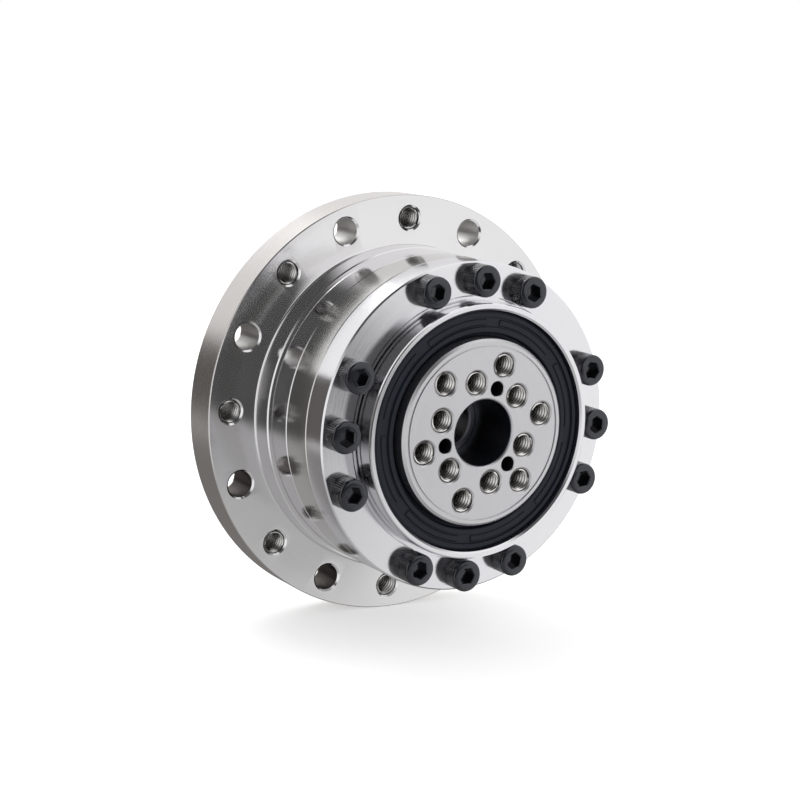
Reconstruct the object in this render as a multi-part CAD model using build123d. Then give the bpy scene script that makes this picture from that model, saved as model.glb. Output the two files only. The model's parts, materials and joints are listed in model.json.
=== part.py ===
from build123d import *
import math
import os

# Strain wave gear unit with a cup shaped flexible gear, a crossed roller output
# bearing and a mounting flange. Millimetres.
# Every piece is drawn on the local Z axis: Z = 0 is the back face of the mounting
# flange and +Z points at the output side. The last step lays the gear axis along Y,
# with the output side towards -Y and +Z up.

# Mounting flange and case
FLANGE_WIDTH = 8.5
FLANGE_THICKNESS = 7.0
FLANGE_CHAMFER = 0.5
FLANGE_HOLE_EDGE = 4.0
FLANGE_BOLT_RADIUS = 2.25
FLANGE_THREAD_RADIUS = 2.0
FLANGE_HOLES = 8
PILOT_STEP = 0.5
PILOT_LENGTH = 4.5
BODY_CHAMFER = 0.3
CASE_BARREL_LENGTH = 5.65
CASE_WALL = 7.5

# Bearing rings that the cap screws clamp to the case
REAR_RING_WIDTH = 6.55
FRONT_RING_WIDTH = 5.1
COLLAR_HEIGHT = 4.2
COLLAR_WALL = 1.15
COLLAR_EDGE = 0.25
RELIEF_WIDTH = 0.65
RELIEF_DEPTH = 0.45
COLLAR_SCREW_GAP = 0.65
RING_SCREW_EDGE = 3.0
RING_SCREW_STEP = 22.5
RING_SCREW_THREAD = 8.0

# Crossed rollers
ROLLER_DIAMETER = 2.5
ROLLER_LENGTH = 2.4
ROLLER_OFFSET = 3.05
ROLLER_STEP = 3.85
ROLLER_SIDES = 10
RACEWAY_CLEARANCE = 0.02
LAND_GAP = 0.5
SPACER_THICKNESS = 0.8
SPACER_CLEARANCE = 0.1

# Output flange, which is the inner ring of the bearing
OUTPUT_STANDOUT = 0.6
OUTPUT_CHAMFER = 0.45
BORE_CHAMFER = 0.3
OUTPUT_BACK_DEPTH = 4.3
OUTPUT_SHOULDER = 3.9
OUTPUT_PHASE = 74.0
OUTER_THREAD_EDGE = 3.95
THREAD_CIRCLE_STEP = 3.0
OUTPUT_THREAD_RADIUS = 2.0
OUTPUT_THREAD_DEPTH = 8.0
OUTPUT_THREADS = 6
DOWEL_INSET = 1.0
DOWEL_WALL = 0.75
DOWEL_RADIUS = 1.25
DOWELS = 3
OUTPUT_BORE_RADIUS = 5.5
OUTPUT_BORE_DEPTH = 10.8
OUTPUT_LEDGE = 1.1
SPIGOT_LENGTH = 1.8

# Shaft seal
SEAL_SPAN = 4.55
SEAL_SINK = 0.8
SEAL_WIDTH = 4.0
SEAL_FIT = 0.02
SEAL_LIP_CLEARANCE = 0.05
SEAL_LIP_HEIGHT = 1.0
SEAL_DUST_GAP = 0.9
STIFFENER_OUTER_COVER = 1.4
STIFFENER_INNER_COVER = 1.95
STIFFENER_HEIGHT = 1.2
STIFFENER_SIDES = 36

# Tooth pair: the flexible gear has two teeth fewer than the circular one
FLEX_TEETH = 60
SPLINE_TEETH = 62
CASE_BORE_TO_PITCH = 1.86
TOOTH_FLANK_SLOPE = 0.45

# Tooth sizes as shares of the module
ADDENDUM_SHARE = 0.46
DEDENDUM_SHARE = 0.68
TIP_HALF_WIDTH_SHARE = 0.48
FLANK_CLEARANCE_SHARE = 0.08

# Circular spline, let into the back of the flange
SPLINE_INSET = 2.5
SPLINE_SEAT_STEP = 0.3
SPLINE_STANDOUT = 7.0
SPLINE_RECESS_DEPTH = 4.0
SPLINE_FIT = 0.02
SPLINE_CHAMFER = 0.5
SPLINE_SCREW_EDGE = 3.0
SPLINE_SCREWS = 8
SPLINE_SCREW_PHASE = 11.25
SPLINE_SCREW_THREAD = 5.0

# Flexible gear cup
FLEX_RIM_WALL = 0.5
FLEX_CUP_WALL = 0.45
FLEX_TOOTH_WIDTH = 8.0
BOSS_HEAD_MARGIN = 0.2
BOSS_THICKNESS = 2.2
DIAPHRAGM_THICKNESS = 0.5
DIAPHRAGM_GAP = 0.7
CUP_CORNER = 1.1
CUP_STRAIGHT = 0.8
WALL_SIDES = 60
BOSS_FIT = 0.02
CLAMP_THICKNESS = 1.5
FLEX_SCREW_REACH = 6.0
DOWEL_FIT = 0.01

# Wave generator
BEARING_WIDTH = 6.0
BEARING_FIT = 0.02
RACE_WALL = 0.76
BALL_RADIUS = 1.3
BALL_CLEARANCE = 0.02
BALL_COUNT = 23
BALL_SIDES = 8
BALL_LATITUDES = (-67.5, -22.5, 22.5, 67.5)
GROOVE_WIDTH = 1.9
GROOVE_DEPTH = 0.35
CAGE_THICKNESS = 0.9
CAGE_SIDE_GAP = 0.2
CAGE_BALL_GAP = 0.3
PLUG_HUB_GAP = 0.4
COUPLING_RECESS = 2.5
COUPLING_WIDTH = 3.3
COUPLING_THICKNESS = 2.4
COUPLING_PLAY = 0.3
COUPLING_BAR_WIDTH = 3.2
COUPLING_BAR_THICKNESS = 1.2
COUPLING_SIDE_PLAY = 0.1
HUB_WALL = 2.6
HUB_BORE_RADIUS = 3.0
HUB_COLLAR_STEP = 1.4
HUB_COLLAR_LENGTH = 3.0
HUB_NOSE = 1.9
HUB_CHAMFER = 0.3
WASHER_THICKNESS = 0.5
WASHER_WIDTH = 2.6
WASHER_CLEARANCE = 0.1
THIN_RING_SIDES = 24
SNAP_RING_THICKNESS = 0.7
SNAP_RING_WIDTH = 1.4
SNAP_GROOVE_DEPTH = 0.5
SNAP_RING_GAP = 3.0
SNAP_FIT = 0.05
SET_SCREW_RADIUS = 1.0
SET_SCREW_LENGTH = 3.0
SET_SCREW_SOCKET = 0.5
SET_SCREW_SINK = 0.3

# Cap screws: shank radius, head radius, head height, socket across flats
RING_SCREW = {"shank": 1.5, "head": 2.7, "height": 3.0, "socket": 2.5}
SPLINE_SCREW = {"shank": 1.25, "head": 2.25, "height": 2.5, "socket": 2.0}
FLEX_SCREW = {"shank": 1.95, "head": 3.5, "height": 2.8, "socket": 2.5}
SOCKET_DEPTH_SHARE = 0.5
HEAD_SIDES = 16
SHANK_SIDES = 8
SCREW_CLEARANCE = 0.2
THREAD_FIT = 0.01
DRILL_RUN_OUT = 0.5
DRILL_POINT_ANGLE = 118.0
COUNTERBORE_CLEARANCE = 0.2
HEAD_SINK = 0.2

# Heights along the axis, worked out from the sizes above
PILOT_TOP = FLANGE_THICKNESS + PILOT_LENGTH
CASE_FACE = PILOT_TOP + CASE_BARREL_LENGTH
RACE_PLANE = CASE_FACE + REAR_RING_WIDTH
RING_FACE = RACE_PLANE + FRONT_RING_WIDTH
COLLAR_FACE = RING_FACE + COLLAR_HEIGHT
OUTPUT_FACE = COLLAR_FACE + OUTPUT_STANDOUT
OUTPUT_BACK = RACE_PLANE - OUTPUT_BACK_DEPTH
SEAL_FACE = COLLAR_FACE - SEAL_SINK
SEAL_SEAT = SEAL_FACE - SEAL_WIDTH
BOSS_BACK = OUTPUT_BACK - BOSS_THICKNESS
CLAMP_BACK = BOSS_BACK - CLAMP_THICKNESS
MESH_CENTRE = (SPLINE_RECESS_DEPTH - SPLINE_STANDOUT) / 2
FLEX_TOOTH_TOP = MESH_CENTRE + FLEX_TOOTH_WIDTH / 2
BEARING_BACK = MESH_CENTRE - BEARING_WIDTH / 2
BEARING_FRONT = MESH_CENTRE + BEARING_WIDTH / 2
COUPLING_FLOOR = BEARING_BACK + COUPLING_RECESS
COUPLING_BACK = COUPLING_FLOOR - COUPLING_THICKNESS
WASHER_FRONT = BEARING_FRONT + WASHER_THICKNESS

# Radii worked out from the sizes above, from the bore of the output flange outwards
THROUGH_BORE_RADIUS = OUTPUT_BORE_RADIUS - OUTPUT_LEDGE
DOWEL_CIRCLE = OUTPUT_BORE_RADIUS + DOWEL_WALL + DOWEL_RADIUS
INNER_THREAD_CIRCLE = DOWEL_CIRCLE + DOWEL_INSET
OUTER_THREAD_CIRCLE = INNER_THREAD_CIRCLE + THREAD_CIRCLE_STEP
OUTPUT_RADIUS = OUTER_THREAD_CIRCLE + OUTER_THREAD_EDGE
BOSS_RADIUS = INNER_THREAD_CIRCLE + FLEX_SCREW["head"] + BOSS_HEAD_MARGIN
SEAL_DUST_LIP = OUTPUT_RADIUS + SEAL_DUST_GAP
STIFFENER_INNER = OUTPUT_RADIUS + STIFFENER_INNER_COVER
SEAL_RADIUS = OUTPUT_RADIUS + SEAL_SPAN
STIFFENER_OUTER = SEAL_RADIUS - STIFFENER_OUTER_COVER
COLLAR_RADIUS = SEAL_RADIUS + COLLAR_WALL
RING_SCREW_CIRCLE = COLLAR_RADIUS + COLLAR_SCREW_GAP + RING_SCREW["head"]
BODY_RADIUS = RING_SCREW_CIRCLE + RING_SCREW_EDGE
PILOT_RADIUS = BODY_RADIUS + PILOT_STEP
FLANGE_RADIUS = PILOT_RADIUS + FLANGE_WIDTH
FLANGE_HOLE_CIRCLE = FLANGE_RADIUS - FLANGE_HOLE_EDGE
CASE_BORE_RADIUS = BODY_RADIUS - CASE_WALL

# The bearing between output flange and rings
ROLLER_PITCH_RADIUS = OUTPUT_RADIUS + ROLLER_OFFSET
ROLLER_COUNT = 2 * int(math.pi * ROLLER_PITCH_RADIUS / ROLLER_STEP)
RACEWAY_REACH = (ROLLER_DIAMETER / 2 + RACEWAY_CLEARANCE) * math.sqrt(2)
OUTER_LAND = ROLLER_PITCH_RADIUS + LAND_GAP / 2
INNER_LAND = ROLLER_PITCH_RADIUS - LAND_GAP / 2

# The tooth pair and what fits inside it
SPLINE_RADIUS = BODY_RADIUS - SPLINE_INSET
SPLINE_SEAT_RADIUS = SPLINE_RADIUS + SPLINE_SEAT_STEP
SPLINE_SCREW_CIRCLE = SPLINE_RADIUS - SPLINE_SCREW_EDGE
SPLINE_PITCH_RADIUS = CASE_BORE_RADIUS - CASE_BORE_TO_PITCH
MODULE = 2 * SPLINE_PITCH_RADIUS / SPLINE_TEETH
TOOTH_ADDENDUM = ADDENDUM_SHARE * MODULE
TOOTH_DEDENDUM = DEDENDUM_SHARE * MODULE
FLEX_TIP_HALF_WIDTH = TIP_HALF_WIDTH_SHARE * MODULE
FLANK_CLEARANCE = FLANK_CLEARANCE_SHARE * MODULE
FLEX_PITCH_RADIUS = SPLINE_PITCH_RADIUS * FLEX_TEETH / SPLINE_TEETH
DEFLECTION = SPLINE_PITCH_RADIUS - FLEX_PITCH_RADIUS
FLEX_TIP = FLEX_PITCH_RADIUS + TOOTH_ADDENDUM
FLEX_ROOT = FLEX_PITCH_RADIUS - TOOTH_DEDENDUM
FLEX_BORE = FLEX_ROOT - FLEX_RIM_WALL
CUP_RADIUS = FLEX_BORE + FLEX_CUP_WALL
SPLINE_TIP = SPLINE_PITCH_RADIUS - TOOTH_ADDENDUM
SPLINE_ROOT = SPLINE_PITCH_RADIUS + TOOTH_DEDENDUM
RACE_OUTER = FLEX_BORE - BEARING_FIT
OUTER_GROOVE = RACE_OUTER - RACE_WALL
BALL_PITCH = OUTER_GROOVE - BALL_CLEARANCE - BALL_RADIUS
INNER_GROOVE = BALL_PITCH - BALL_RADIUS - BALL_CLEARANCE
RACE_BORE = INNER_GROOVE - RACE_WALL
PLUG_RADIUS = RACE_BORE - BEARING_FIT

# The input side, from the motor shaft outwards
HUB_RADIUS = HUB_BORE_RADIUS + HUB_WALL
HUB_COLLAR_RADIUS = HUB_RADIUS + HUB_COLLAR_STEP
WASHER_RADIUS = HUB_RADIUS + WASHER_WIDTH
PLUG_BORE_RADIUS = HUB_RADIUS + PLUG_HUB_GAP
COUPLING_RADIUS = PLUG_BORE_RADIUS + COUPLING_WIDTH


def turned(*points):
    """A solid turned about Z from its (radius, height) outline."""
    return revolve(Plane.XZ * make_face(Polyline(*points, close=True)), Axis.Z)


def drum(radius, bottom, top):
    """A plain cylinder on the axis between two heights."""
    return Pos(0, 0, bottom) * Cylinder(radius, top - bottom, align=(Align.CENTER, Align.CENTER, Align.MIN))


def drilled(radius, floor, mouth):
    """A blind hole: a round wall from floor to mouth, and the drill's point below the floor."""
    point = radius / math.tan(math.radians(DRILL_POINT_ANGLE / 2))
    return turned((0, floor - point), (radius, floor), (radius, mouth), (0, mouth))


def prism(radius, sides, bottom, top):
    """A flat sided bar on the axis: what repeats, or is hidden, takes this in place of a round."""
    return Pos(0, 0, bottom) * extrude(RegularPolygon(radius, sides), top - bottom)


def around(piece, radius, angles):
    """Copies of a piece set out on a circle, turned with it."""
    return [Rot(0, 0, angle) * Pos(radius, 0, 0) * piece for angle in angles]


def evenly(count, phase=0.0):
    """Angles of evenly spaced places round the axis."""
    return [phase + 360 * k / count for k in range(count)]


def oval(radius, bottom, top):
    """An elliptical prism whose radius is pressed out by the deflection on X and in on Y."""
    face = Ellipse(radius + DEFLECTION, radius - DEFLECTION)
    return Pos(0, 0, bottom) * extrude(face, top - bottom)


def oval_radius(radius, angle):
    """Radius of the pressed shape at an angle in degrees from its long axis."""
    return radius + DEFLECTION * math.cos(2 * math.radians(angle))


def hexagon(across_flats, bottom, top):
    """A hexagonal prism on the axis."""
    face = RegularPolygon(across_flats / 2, 6, major_radius=False)
    return Pos(0, 0, bottom) * extrude(face, top - bottom)


def cap_screw(screw, seat, tip, facing):
    """A socket head cap screw: its head sits on the seat height and faces that way."""
    low, high = min(seat, tip), max(seat, tip)
    top = seat + facing * screw["height"]
    floor = top - facing * screw["height"] * SOCKET_DEPTH_SHARE
    head = prism(screw["head"], HEAD_SIDES, min(seat, top), max(seat, top))
    socket = hexagon(screw["socket"], min(floor, top), max(floor, top))
    return head + prism(screw["shank"], SHANK_SIDES, low, high) - socket


def ring_screw_angles():
    """Twelve screws in four groups of three: one step of sixteen is left out at each diagonal."""
    return [quarter + step * RING_SCREW_STEP for quarter in (0, 90, 180, 270) for step in (-1, 0, 1)]


def case():
    """Mounting flange, pilot and barrel in one turned piece."""
    step = PILOT_RADIUS - BODY_RADIUS
    recess = SPLINE_SEAT_RADIUS + SPLINE_FIT
    body = turned(
        (recess, 0),
        (FLANGE_RADIUS - FLANGE_CHAMFER, 0),
        (FLANGE_RADIUS, FLANGE_CHAMFER),
        (FLANGE_RADIUS, FLANGE_THICKNESS - FLANGE_CHAMFER),
        (FLANGE_RADIUS - FLANGE_CHAMFER, FLANGE_THICKNESS),
        (PILOT_RADIUS, FLANGE_THICKNESS),
        (PILOT_RADIUS, PILOT_TOP - step),
        (BODY_RADIUS, PILOT_TOP),
        (BODY_RADIUS, CASE_FACE - BODY_CHAMFER),
        (BODY_RADIUS - BODY_CHAMFER, CASE_FACE),
        (CASE_BORE_RADIUS, CASE_FACE),
        (CASE_BORE_RADIUS, SPLINE_RECESS_DEPTH),
        (recess, SPLINE_RECESS_DEPTH),
    )
    bolt_angles = evenly(FLANGE_HOLES, 180 / FLANGE_HOLES)
    thread_angles = evenly(FLANGE_HOLES)
    cuts = []
    for radius, angles in ((FLANGE_BOLT_RADIUS, bolt_angles), (FLANGE_THREAD_RADIUS, thread_angles)):
        hole = drum(radius, 0, FLANGE_THICKNESS)
        cuts += around(hole, FLANGE_HOLE_CIRCLE, angles)
    ring_thread = prism(
        RING_SCREW["shank"] + THREAD_FIT,
        SHANK_SIDES,
        CASE_FACE - RING_SCREW_THREAD - DRILL_RUN_OUT,
        CASE_FACE,
    )
    cuts += around(ring_thread, RING_SCREW_CIRCLE, ring_screw_angles())
    spline_thread = prism(
        SPLINE_SCREW["shank"] + THREAD_FIT,
        SHANK_SIDES,
        SPLINE_RECESS_DEPTH,
        SPLINE_RECESS_DEPTH + SPLINE_SCREW_THREAD + DRILL_RUN_OUT,
    )
    cuts += around(spline_thread, SPLINE_SCREW_CIRCLE, evenly(SPLINE_SCREWS, SPLINE_SCREW_PHASE))
    return body - cuts


def ring_screw_holes(bottom, top):
    """Clearance holes of the cap screws through one bearing ring."""
    hole = prism(RING_SCREW["shank"] + SCREW_CLEARANCE, SHANK_SIDES, bottom, top)
    return around(hole, RING_SCREW_CIRCLE, ring_screw_angles())


def rear_bearing_ring():
    """Rear half of the bearing's outer ring, with one flank of the V raceway."""
    reach = RACEWAY_REACH - LAND_GAP / 2
    apex = ROLLER_PITCH_RADIUS + RACEWAY_REACH
    ring = turned(
        (OUTER_LAND, CASE_FACE),
        (BODY_RADIUS - BODY_CHAMFER, CASE_FACE),
        (BODY_RADIUS, CASE_FACE + BODY_CHAMFER),
        (BODY_RADIUS, RACE_PLANE - BODY_CHAMFER),
        (BODY_RADIUS - BODY_CHAMFER, RACE_PLANE),
        (apex, RACE_PLANE),
        (OUTER_LAND, RACE_PLANE - reach),
    )
    return ring - ring_screw_holes(CASE_FACE, RACE_PLANE)


def front_bearing_ring():
    """Front half of the outer ring: screw face, relief groove and the collar that holds the seal."""
    reach = RACEWAY_REACH - LAND_GAP / 2
    apex = ROLLER_PITCH_RADIUS + RACEWAY_REACH
    relief_floor = RING_FACE - RELIEF_DEPTH
    ring = turned(
        (apex, RACE_PLANE),
        (BODY_RADIUS - BODY_CHAMFER, RACE_PLANE),
        (BODY_RADIUS, RACE_PLANE + BODY_CHAMFER),
        (BODY_RADIUS, RING_FACE - BODY_CHAMFER),
        (BODY_RADIUS - BODY_CHAMFER, RING_FACE),
        (COLLAR_RADIUS + RELIEF_WIDTH, RING_FACE),
        (COLLAR_RADIUS + RELIEF_WIDTH, relief_floor),
        (COLLAR_RADIUS, relief_floor),
        (COLLAR_RADIUS, COLLAR_FACE - COLLAR_EDGE),
        (COLLAR_RADIUS - COLLAR_EDGE, COLLAR_FACE),
        (SEAL_RADIUS + COLLAR_EDGE, COLLAR_FACE),
        (SEAL_RADIUS, COLLAR_FACE - COLLAR_EDGE),
        (SEAL_RADIUS, SEAL_SEAT),
        (OUTER_LAND, SEAL_SEAT),
        (OUTER_LAND, RACE_PLANE + reach),
    )
    return ring - ring_screw_holes(RACE_PLANE, RING_FACE)


def ring_screws():
    """The twelve cap screws that clamp both bearing rings to the case."""
    screw = cap_screw(RING_SCREW, RING_FACE, CASE_FACE - RING_SCREW_THREAD, 1)
    return around(screw, RING_SCREW_CIRCLE, ring_screw_angles())


def crossed_rollers():
    """Rollers in the V raceway, each leaning across its neighbours."""
    rollers = []
    for index, angle in enumerate(evenly(ROLLER_COUNT)):
        lean = 45 if index % 2 == 0 else -45
        bar = prism(ROLLER_DIAMETER / 2, ROLLER_SIDES, -ROLLER_LENGTH / 2, ROLLER_LENGTH / 2)
        roller = Rot(0, lean, 0) * bar
        rollers += around(roller, ROLLER_PITCH_RADIUS, [angle])
    return [Pos(0, 0, RACE_PLANE) * roller for roller in rollers]


def roller_spacers():
    """Square separators between the rollers, on edge in the V raceway."""
    side = ROLLER_DIAMETER - 2 * SPACER_CLEARANCE
    spacer = Rot(0, 45, 0) * Box(side, SPACER_THICKNESS, side)
    between = evenly(ROLLER_COUNT, 180 / ROLLER_COUNT)
    return [Pos(0, 0, RACE_PLANE) * piece for piece in around(spacer, ROLLER_PITCH_RADIUS, between)]


def output_flange():
    """Output flange, with the inner V raceway on its rim and the threads of its face."""
    reach = RACEWAY_REACH - LAND_GAP / 2
    apex = ROLLER_PITCH_RADIUS - RACEWAY_REACH
    spigot_back = OUTPUT_BACK - SPIGOT_LENGTH
    ledge = OUTPUT_FACE - OUTPUT_BORE_DEPTH
    body = turned(
        (THROUGH_BORE_RADIUS, spigot_back),
        (OUTPUT_BORE_RADIUS, spigot_back),
        (OUTPUT_BORE_RADIUS, OUTPUT_BACK),
        (INNER_LAND, OUTPUT_BACK),
        (INNER_LAND, RACE_PLANE - reach),
        (apex, RACE_PLANE),
        (INNER_LAND, RACE_PLANE + reach),
        (INNER_LAND, RACE_PLANE + OUTPUT_SHOULDER),
        (OUTPUT_RADIUS, RACE_PLANE + OUTPUT_SHOULDER),
        (OUTPUT_RADIUS, OUTPUT_FACE - OUTPUT_CHAMFER),
        (OUTPUT_RADIUS - OUTPUT_CHAMFER, OUTPUT_FACE),
        (OUTPUT_BORE_RADIUS + BORE_CHAMFER, OUTPUT_FACE),
        (OUTPUT_BORE_RADIUS, OUTPUT_FACE - BORE_CHAMFER),
        (OUTPUT_BORE_RADIUS, ledge),
        (THROUGH_BORE_RADIUS, ledge),
    )
    blind = drilled(OUTPUT_THREAD_RADIUS, OUTPUT_FACE - OUTPUT_THREAD_DEPTH, OUTPUT_FACE)
    through = drum(OUTPUT_THREAD_RADIUS, OUTPUT_BACK, OUTPUT_FACE)
    dowel = drum(DOWEL_RADIUS, OUTPUT_BACK, OUTPUT_FACE)
    cuts = around(blind, OUTER_THREAD_CIRCLE, evenly(OUTPUT_THREADS, OUTPUT_PHASE))
    cuts += around(through, INNER_THREAD_CIRCLE, inner_thread_angles())
    cuts += around(dowel, DOWEL_CIRCLE, evenly(DOWELS, OUTPUT_PHASE))
    return body - cuts


def inner_thread_angles():
    """The inner threads stand midway between the outer ones."""
    return evenly(OUTPUT_THREADS, OUTPUT_PHASE + 180 / OUTPUT_THREADS)


def seal_rubber():
    """Rubber of the shaft seal: outer wall, face and the cone of the sealing lip."""
    outer = SEAL_RADIUS - SEAL_FIT
    lip = OUTPUT_RADIUS + SEAL_LIP_CLEARANCE
    body = turned(
        (outer, SEAL_SEAT),
        (outer, SEAL_FACE),
        (SEAL_DUST_LIP, SEAL_FACE),
        (lip, SEAL_SEAT + SEAL_LIP_HEIGHT),
        (SEAL_DUST_LIP, SEAL_SEAT),
    )
    return body - stiffener_ring(SEAL_FIT)


def stiffener_ring(fit):
    """The stiffener's own shape, grown by a fit where it is cut from the rubber."""
    top = SEAL_SEAT + STIFFENER_HEIGHT + fit
    outer = prism(STIFFENER_OUTER + fit, STIFFENER_SIDES, SEAL_SEAT, top)
    return outer - prism(STIFFENER_INNER - fit, STIFFENER_SIDES, SEAL_SEAT, top)


def seal_stiffener():
    """Steel ring that the rubber is moulded on."""
    return stiffener_ring(0)


def tooth_outline(teeth, root, tip, tip_half_width, root_half_width, pressed):
    """Closed outline of straight flanked teeth. Where pressed is True the ring takes its oval shape."""
    points = []
    for index in range(teeth):
        turn = 2 * math.pi * index / teeth
        push = DEFLECTION * math.cos(2 * turn) if pressed else 0.0
        slip = DEFLECTION / (2 * FLEX_PITCH_RADIUS) * math.sin(2 * turn) if pressed else 0.0
        tilt = 2 * DEFLECTION / FLEX_PITCH_RADIUS * math.sin(2 * turn) if pressed else 0.0
        middle = turn - slip
        foot_x = (root + push) * math.cos(middle)
        foot_y = (root + push) * math.sin(middle)
        lean = middle + tilt
        rising = ((0.0, -root_half_width), (tip - root, -tip_half_width))
        falling = ((tip - root, tip_half_width), (0.0, root_half_width))
        for out, side in rising + falling:
            x = foot_x + out * math.cos(lean) - side * math.sin(lean)
            y = foot_y + out * math.sin(lean) + side * math.cos(lean)
            points.append((x, y))
    return points


def flexspline():
    """Cup of the flexible gear: toothed oval rim, thin wall, diaphragm and bolted boss."""
    depth = FLEX_TIP - FLEX_ROOT
    root_half_width = FLEX_TIP_HALF_WIDTH + depth * TOOTH_FLANK_SLOPE
    outline = tooth_outline(FLEX_TEETH, FLEX_ROOT, FLEX_TIP, FLEX_TIP_HALF_WIDTH, root_half_width, True)
    rim_bottom = MESH_CENTRE - FLEX_TOOTH_WIDTH / 2
    teeth = Pos(0, 0, rim_bottom) * extrude(make_face(Polyline(*outline, close=True)), FLEX_TOOTH_WIDTH)
    rim = teeth - oval(FLEX_BORE, rim_bottom, FLEX_TOOTH_TOP)
    diaphragm_top = OUTPUT_BACK - DIAPHRAGM_GAP
    diaphragm_bottom = diaphragm_top - DIAPHRAGM_THICKNESS
    wall_top = diaphragm_top - CUP_CORNER - CUP_STRAIGHT
    top = turned(
        (OUTPUT_BORE_RADIUS + BOSS_FIT, BOSS_BACK),
        (BOSS_RADIUS, BOSS_BACK),
        (BOSS_RADIUS, diaphragm_bottom),
        (CUP_RADIUS - CUP_CORNER, diaphragm_bottom),
        (FLEX_BORE, diaphragm_top - CUP_CORNER),
        (FLEX_BORE, wall_top),
        (CUP_RADIUS, wall_top),
        (CUP_RADIUS, diaphragm_top - CUP_CORNER),
        (CUP_RADIUS - CUP_CORNER, diaphragm_top),
        (BOSS_RADIUS, diaphragm_top),
        (BOSS_RADIUS, OUTPUT_BACK),
        (OUTPUT_BORE_RADIUS + BOSS_FIT, OUTPUT_BACK),
    )
    wall = cup_skin(CUP_RADIUS, wall_top) - cup_skin(FLEX_BORE, wall_top)
    cup = rim + wall + top
    return cup - boss_holes(BOSS_BACK, OUTPUT_BACK)


def cup_skin(radius, wall_top):
    """Solid whose side runs from the oval rim to the round end, in flat facets."""
    lower, upper = [], []
    for angle in evenly(WALL_SIDES):
        turn = math.radians(angle)
        pressed = oval_radius(radius, angle)
        lower.append((pressed * math.cos(turn), pressed * math.sin(turn), FLEX_TOOTH_TOP))
        upper.append((radius * math.cos(turn), radius * math.sin(turn), wall_top))
    faces = [Face(Wire.make_polygon(lower, close=True)), Face(Wire.make_polygon(upper, close=True))]
    for index in range(WALL_SIDES):
        after = (index + 1) % WALL_SIDES
        faces.append(Face(Wire.make_polygon([lower[index], lower[after], upper[index]], close=True)))
        faces.append(Face(Wire.make_polygon([lower[after], upper[after], upper[index]], close=True)))
    return Solid(Shell(faces))


def boss_holes(bottom, top):
    """Screw and dowel holes through the boss or its clamp plate."""
    screw_hole = prism(FLEX_SCREW["shank"] + SCREW_CLEARANCE, SHANK_SIDES, bottom, top)
    dowel_hole = prism(DOWEL_RADIUS, SHANK_SIDES, bottom, top)
    holes = around(screw_hole, INNER_THREAD_CIRCLE, inner_thread_angles())
    return holes + around(dowel_hole, DOWEL_CIRCLE, evenly(DOWELS, OUTPUT_PHASE))


def flexspline_clamp():
    """Plate that spreads the screws' load over the boss."""
    plate = drum(BOSS_RADIUS, CLAMP_BACK, BOSS_BACK) - drum(OUTPUT_BORE_RADIUS, CLAMP_BACK, BOSS_BACK)
    return plate - boss_holes(CLAMP_BACK, BOSS_BACK)


def flexspline_screws():
    """Low head cap screws from inside the cup into the inner threads of the output flange."""
    screw = cap_screw(FLEX_SCREW, CLAMP_BACK, OUTPUT_BACK + FLEX_SCREW_REACH, -1)
    return around(screw, INNER_THREAD_CIRCLE, inner_thread_angles())


def flexspline_dowels():
    """Dowel pins that carry the torque from the boss into the output flange."""
    pin = prism(DOWEL_RADIUS - DOWEL_FIT, SHANK_SIDES, CLAMP_BACK, OUTPUT_BACK + FLEX_SCREW_REACH)
    return around(pin, DOWEL_CIRCLE, evenly(DOWELS, OUTPUT_PHASE))


def circular_spline():
    """Rigid ring with the internal teeth, let into the back of the case."""
    engaged = FLEX_TIP + DEFLECTION - SPLINE_TIP
    gap_at_tip = FLEX_TIP_HALF_WIDTH + engaged * TOOTH_FLANK_SLOPE + FLANK_CLEARANCE
    gap_at_root = gap_at_tip - (SPLINE_ROOT - SPLINE_TIP) * TOOTH_FLANK_SLOPE
    outline = tooth_outline(SPLINE_TEETH, SPLINE_TIP, SPLINE_ROOT, gap_at_root, gap_at_tip, False)
    back = -SPLINE_STANDOUT
    ring = turned(
        (0, back),
        (SPLINE_RADIUS - SPLINE_CHAMFER, back),
        (SPLINE_RADIUS, back + SPLINE_CHAMFER),
        (SPLINE_RADIUS, 0),
        (SPLINE_SEAT_RADIUS, 0),
        (SPLINE_SEAT_RADIUS, SPLINE_RECESS_DEPTH),
        (0, SPLINE_RECESS_DEPTH),
    )
    depth = SPLINE_STANDOUT + SPLINE_RECESS_DEPTH
    hollow = Pos(0, 0, back) * extrude(make_face(Polyline(*outline, close=True)), depth)
    seat = spline_screw_seat()
    hole = prism(SPLINE_SCREW["shank"] + SCREW_CLEARANCE / 2, SHANK_SIDES, back, SPLINE_RECESS_DEPTH)
    counterbore = prism(SPLINE_SCREW["head"] + COUNTERBORE_CLEARANCE, HEAD_SIDES, back, seat)
    cuts = around(hole + counterbore, SPLINE_SCREW_CIRCLE, evenly(SPLINE_SCREWS, SPLINE_SCREW_PHASE))
    return ring - [hollow, *cuts]


def spline_screw_seat():
    """Height of the counterbore floor in the circular spline."""
    return -SPLINE_STANDOUT + SPLINE_SCREW["height"] + HEAD_SINK


def spline_screws():
    """Cap screws that hold the circular spline in the case."""
    screw = cap_screw(SPLINE_SCREW, spline_screw_seat(), SPLINE_RECESS_DEPTH + SPLINE_SCREW_THREAD, -1)
    return around(screw, SPLINE_SCREW_CIRCLE, evenly(SPLINE_SCREWS, SPLINE_SCREW_PHASE))


def race_groove(radius):
    """The channel that the balls run in, as an oval disc as high as the channel is wide."""
    return oval(radius, MESH_CENTRE - GROOVE_WIDTH / 2, MESH_CENTRE + GROOVE_WIDTH / 2)


def bearing_outer_race():
    """Thin outer race, bent to the oval inside the flexible gear."""
    land = OUTER_GROOVE - GROOVE_DEPTH
    race = oval(RACE_OUTER, BEARING_BACK, BEARING_FRONT) - oval(land, BEARING_BACK, BEARING_FRONT)
    return race - race_groove(OUTER_GROOVE)


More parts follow.
